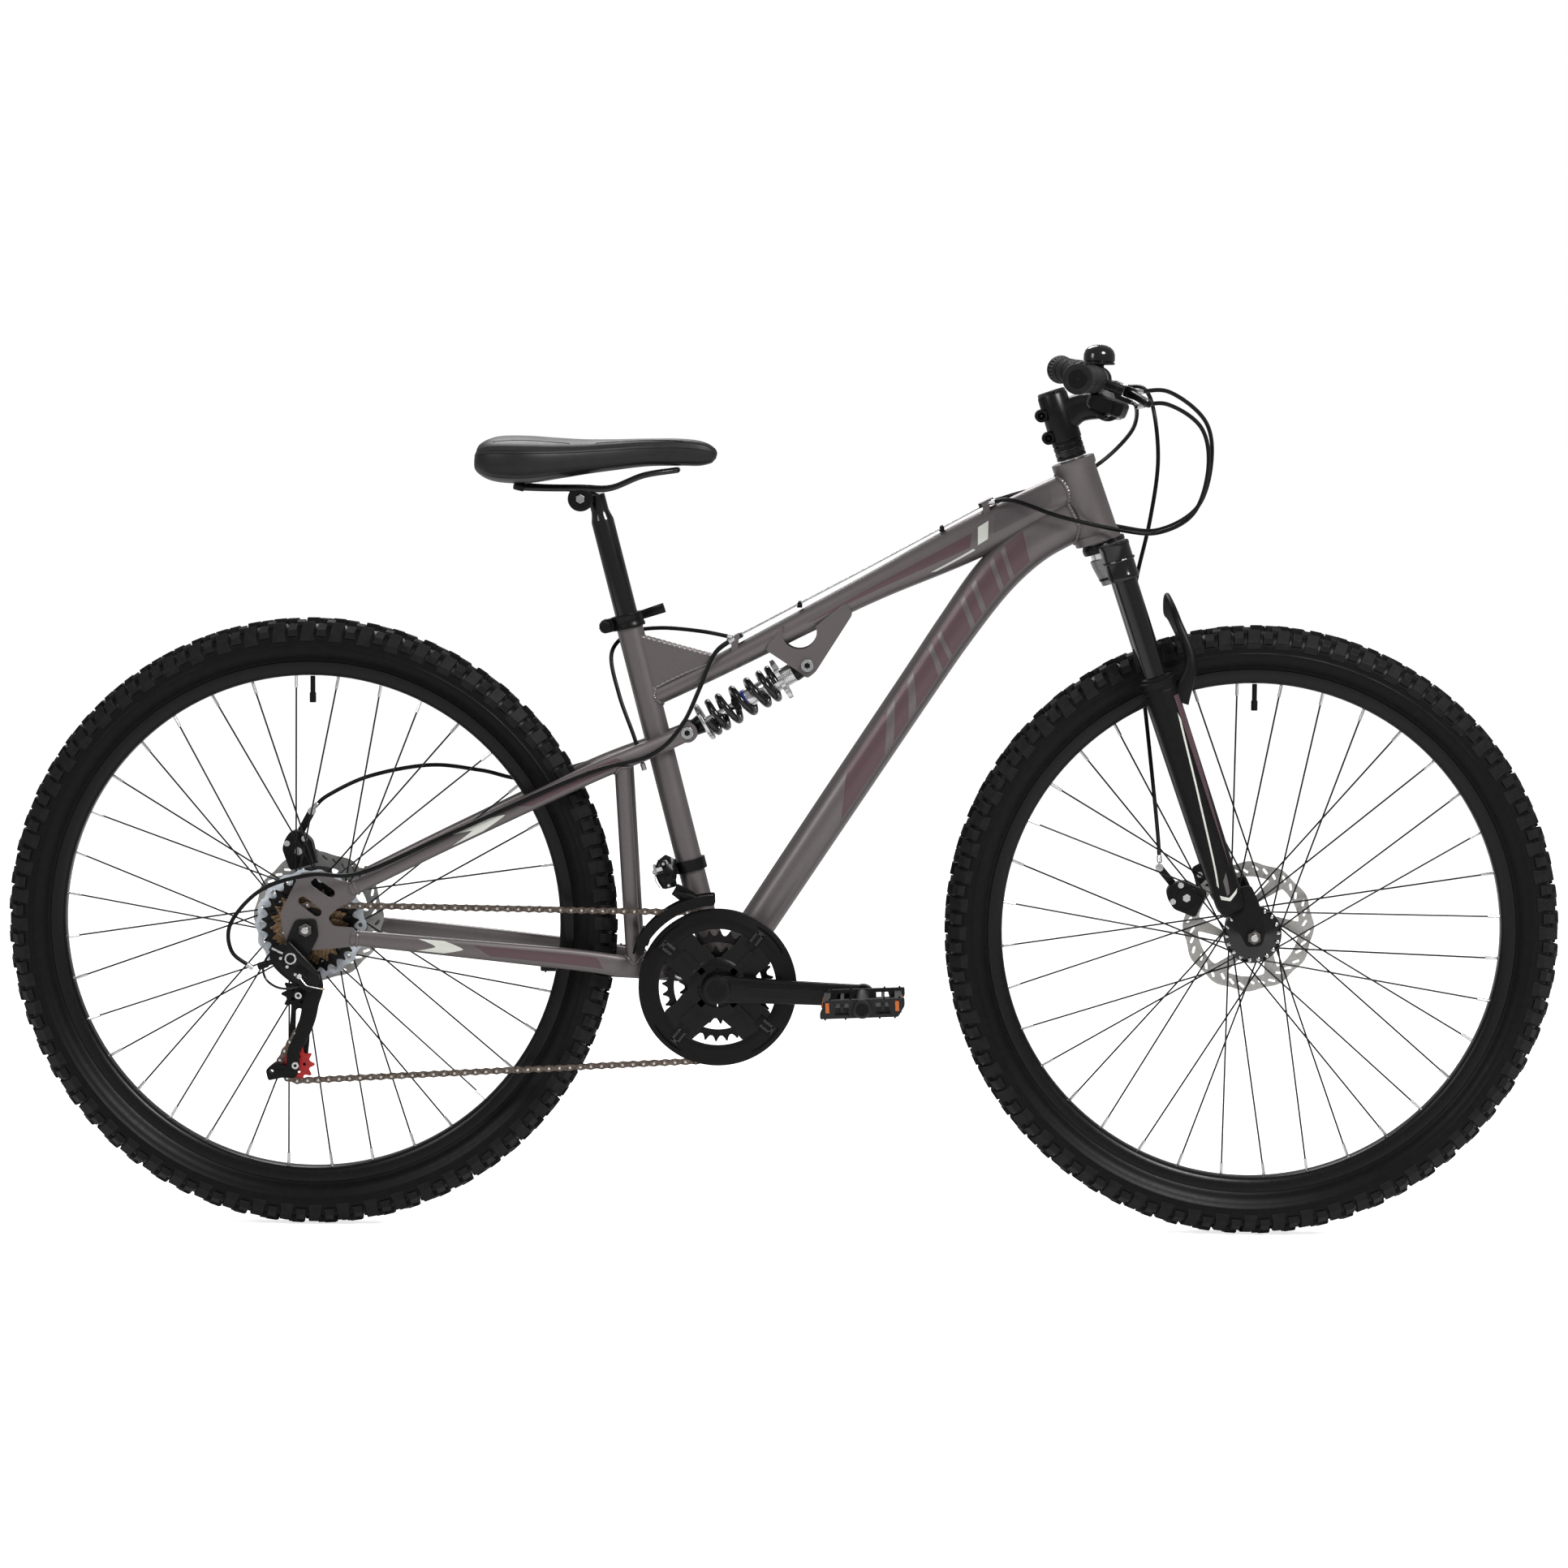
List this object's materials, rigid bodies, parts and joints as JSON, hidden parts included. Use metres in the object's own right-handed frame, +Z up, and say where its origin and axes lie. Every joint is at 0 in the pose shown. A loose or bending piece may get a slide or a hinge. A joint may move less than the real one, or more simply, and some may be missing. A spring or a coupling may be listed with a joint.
{
  "type": "full-suspension mountain bike",
  "caption": "Full-suspension mountain bike: single-pivot swingarm with a coil shock, telescopic fork, knobby tyres, disc brakes, derailleur gears, bell and saddle.",
  "frame": {"origin": "on the ground under the bike, midway between the two axles", "axes": "+X forward, +Y to the rider's left, +Z up"},
  "size_m": [1.875, 0.645, 1.0764],
  "materials": {
    "frame_paint": "satin metallic warm dark grey",
    "black_anodised": "satin black",
    "silver_steel": "brushed and stamped",
    "tyre_rubber": "knobby, matte",
    "black_rim": "satin black",
    "black_hub": "gloss black",
    "black_spokes": "black with silver nipples",
    "clear_plastic": "clear plastic, glossy",
    "dark_cogs": "black and bronze plated",
    "black_plastic": "moulded, slight sheen",
    "pedal_plastic": "moulded, worn",
    "black_crank": "gloss black",
    "bronze_chain": "bronze plated, oiled",
    "red_plastic": "moulded",
    "black_spring": "gloss powder coat",
    "gloss_black": "gloss black",
    "matte_black": "matte black",
    "grip_rubber": "ribbed",
    "saddle_skin": "matte vinyl with a fine grain",
    "cable_housing": "smooth, slightly glossy"
  },
  "bodies": {
    "frame": {"main_frame": "frame_paint", "seat_collar": "black_anodised", "pivot_bolt": "silver_steel", "front_derailleur": "black_anodised", "chain": "bronze_chain", "rear_cables": "cable_housing"},
    "seat_lever": {"seat_lever": "black_anodised"},
    "steering": {"fork_crown": "gloss_black", "stem": "matte_black", "handlebar": "matte_black", "grip_right": "grip_rubber", "grip_left": "grip_rubber", "controls_right": "black_anodised", "controls_left": "black_anodised", "bell": "gloss_black", "front_brake_cable": "cable_housing"},
    "fork_slider": {"fork_lowers": "matte_black", "front_axle": "silver_steel", "front_caliper": "black_anodised"},
    "front_wheel": {"front_tyre": "tyre_rubber", "front_rim": "black_rim", "front_hub": "black_hub", "front_spokes_right": "black_spokes", "front_spokes_left": "black_spokes", "front_rotor": "silver_steel"},
    "swingarm": {"swingarm": "frame_paint", "rear_axle": "silver_steel", "rear_caliper": "black_anodised", "rear_derailleur": "black_anodised"},
    "rear_wheel": {"rear_tyre": "tyre_rubber", "rear_rim": "black_rim", "rear_hub": "black_hub", "rear_spokes_right": "black_spokes", "rear_spokes_left": "black_spokes", "rear_rotor": "silver_steel", "spoke_protector": "clear_plastic"},
    "freewheel": {"freewheel": "dark_cogs"},
    "crankset": {"bb_spindle": "black_crank", "crank_right": "black_crank", "crank_left": "black_crank", "chainrings": "dark_cogs", "chain_guard": "black_plastic"},
    "pedal_right": {"pedal_right": "pedal_plastic"},
    "pedal_left": {"pedal_left": "pedal_plastic"},
    "derailleur_cage": {"derailleur_cage": "black_anodised"},
    "guide_pulley": {"guide_pulley": "red_plastic"},
    "tension_pulley": {"tension_pulley": "red_plastic"},
    "front_derailleur_cage": {"front_derailleur_cage": "black_anodised"},
    "shock_body": {"shock_body": "silver_steel", "shock_spring": "black_spring"},
    "shock_shaft": {"shock_shaft": "silver_steel"},
    "seatpost": {"seatpost": "gloss_black"},
    "saddle": {"saddle": "saddle_skin", "saddle_rails": "matte_black"},
    "brake_lever_right": {"brake_lever_right": "black_anodised"},
    "brake_lever_left": {"brake_lever_left": "black_anodised"},
    "shift_lever_right": {"shift_lever_right": "black_anodised"},
    "shift_lever_left": {"shift_lever_left": "black_anodised"},
    "front_caliper_arm": {"front_caliper_arm": "black_anodised"},
    "rear_caliper_arm": {"rear_caliper_arm": "black_anodised"}
  },
  "joints": [
    {"name": "steering_turn", "type": "hinge", "parent": "frame", "child": "steering", "pos_m": [0.3618, 0, 0.8874], "axis": [-0.314, 0, 0.9494], "range_deg": [-60, 60], "deforming": ["rear_cables"]},
    {"name": "fork_travel", "type": "slide", "parent": "steering", "child": "fork_slider", "axis": [-0.314, 0, 0.9494], "range_m": [0, 0.08], "stiffness_N_per_m": 9000, "springref_m": -0.006, "deforming": ["front_brake_cable"]},
    {"name": "front_wheel_spin", "type": "hinge", "parent": "fork_slider", "child": "front_wheel", "pos_m": [0.5675, 0, 0.37], "axis": [0, 1, 0], "continuous": true},
    {"name": "swingarm_pivot", "type": "hinge", "parent": "frame", "child": "swingarm", "pos_m": [-0.118, 0, 0.322], "axis": [0, 1, 0], "range_deg": [0, 8.2], "stiffness_Nm_per_rad": 4300, "springref_deg": -1.15, "deforming": ["rear_cables", "chain", "shock_spring"]},
    {"name": "rear_wheel_spin", "type": "hinge", "parent": "swingarm", "child": "rear_wheel", "pos_m": [-0.5675, 0, 0.37], "axis": [0, 1, 0], "continuous": true},
    {"name": "crank_spin", "type": "hinge", "parent": "frame", "child": "crankset", "pos_m": [-0.074, 0, 0.3035], "axis": [0, 1, 0], "continuous": true},
    {"name": "freewheel_spin", "type": "hinge", "parent": "swingarm", "child": "freewheel", "pos_m": [-0.5675, 0, 0.37], "axis": [0, 1, 0], "continuous": true},
    {"name": "pedal_right_spin", "type": "hinge", "parent": "crankset", "child": "pedal_right", "pos_m": [0.10091, 0, 0.298], "axis": [0, 1, 0], "continuous": true},
    {"name": "pedal_left_spin", "type": "hinge", "parent": "crankset", "child": "pedal_left", "pos_m": [-0.24891, 0, 0.309], "axis": [0, 1, 0], "continuous": true},
    {"name": "derailleur_cage_swing", "type": "hinge", "parent": "swingarm", "child": "derailleur_cage", "pos_m": [-0.561, 0, 0.311], "axis": [0, 1, 0], "range_deg": [-10, 20], "stiffness_Nm_per_rad": 1.5, "deforming": ["chain"]},
    {"name": "guide_pulley_spin", "type": "hinge", "parent": "derailleur_cage", "child": "guide_pulley", "pos_m": [-0.577, -0.063, 0.29], "axis": [0, 1, 0], "continuous": true},
    {"name": "tension_pulley_spin", "type": "hinge", "parent": "derailleur_cage", "child": "tension_pulley", "pos_m": [-0.581, -0.063, 0.205], "axis": [0, 1, 0], "continuous": true},
    {"name": "front_derailleur_shift", "type": "slide", "parent": "frame", "child": "front_derailleur_cage", "axis": [0, 1, 0], "range_m": [0, 0.005], "deforming": ["chain"]},
    {"name": "shock_swing", "type": "hinge", "parent": "frame", "child": "shock_body", "pos_m": [0.03, 0, 0.688], "axis": [0, 1, 0], "range_deg": [-9.61, 0], "deforming": ["shock_spring"]},
    {"name": "shock_stroke", "type": "slide", "parent": "shock_body", "child": "shock_shaft", "axis": [0.8682, 0, 0.4961], "range_m": [0, 0.03247], "deforming": ["shock_spring"]},
    {"name": "seatpost_height", "type": "slide", "parent": "frame", "child": "seatpost", "axis": [-0.2504, 0, 0.9681], "range_m": [-0.08, 0.09]},
    {"name": "saddle_tilt", "type": "hinge", "parent": "seatpost", "child": "saddle", "pos_m": [-0.243, 0, 0.886], "axis": [0, 1, 0], "range_deg": [-8, 8]},
    {"name": "seat_lever_turn", "type": "hinge", "parent": "frame", "child": "seat_lever", "pos_m": [-0.21365, 0, 0.73167], "axis": [0, 1, 0], "range_deg": [-100, 0]},
    {"name": "brake_lever_right_pull", "type": "hinge", "parent": "steering", "child": "brake_lever_right", "pos_m": [0.4047, -0.18141, 1.02012], "axis": [-0.352, 0.0408, -0.9351], "range_deg": [0, 22], "stiffness_Nm_per_rad": 1.5, "springref_deg": -8.59},
    {"name": "brake_lever_left_pull", "type": "hinge", "parent": "steering", "child": "brake_lever_left", "pos_m": [0.4047, 0.18141, 1.02012], "axis": [0.352, 0.0408, 0.9351], "range_deg": [0, 22], "stiffness_Nm_per_rad": 1.5, "springref_deg": -8.59},
    {"name": "shift_lever_right_push", "type": "hinge", "parent": "steering", "child": "shift_lever_right", "pos_m": [0.37341, -0.16448, 0.99306], "axis": [0.352, -0.0408, 0.9351], "range_deg": [0, 20], "stiffness_Nm_per_rad": 0.5, "springref_deg": -8.59},
    {"name": "shift_lever_left_push", "type": "hinge", "parent": "steering", "child": "shift_lever_left", "pos_m": [0.37341, 0.16448, 0.99306], "axis": [-0.352, -0.0408, -0.9351], "range_deg": [0, 20], "stiffness_Nm_per_rad": 0.5, "springref_deg": -8.59},
    {"name": "front_caliper_arm_pull", "type": "hinge", "parent": "fork_slider", "child": "front_caliper_arm", "pos_m": [0.484, 0, 0.41], "axis": [0, 1, 0], "range_deg": [0, 22], "deforming": ["front_brake_cable"]},
    {"name": "rear_caliper_arm_pull", "type": "hinge", "parent": "swingarm", "child": "rear_caliper_arm", "pos_m": [-0.597, 0, 0.462], "axis": [0, 1, 0], "range_deg": [-22, 0], "deforming": ["rear_cables"]}
  ],
  "couplings": [
    {"joint": "freewheel_spin", "follows": "crank_spin", "ratio": 3.1429},
    {"joint": "guide_pulley_spin", "follows": "crank_spin", "ratio": -4.4},
    {"joint": "tension_pulley_spin", "follows": "crank_spin", "ratio": 4.4},
    {"joint": "shock_swing", "follows": "swingarm_pivot", "ratio": -1.16},
    {"joint": "shock_stroke", "follows": "swingarm_pivot", "m_per_rad": 0.2248},
    {"joint": "front_caliper_arm_pull", "follows": "brake_lever_left_pull", "ratio": 1},
    {"joint": "rear_caliper_arm_pull", "follows": "brake_lever_right_pull", "ratio": -1}
  ]
}
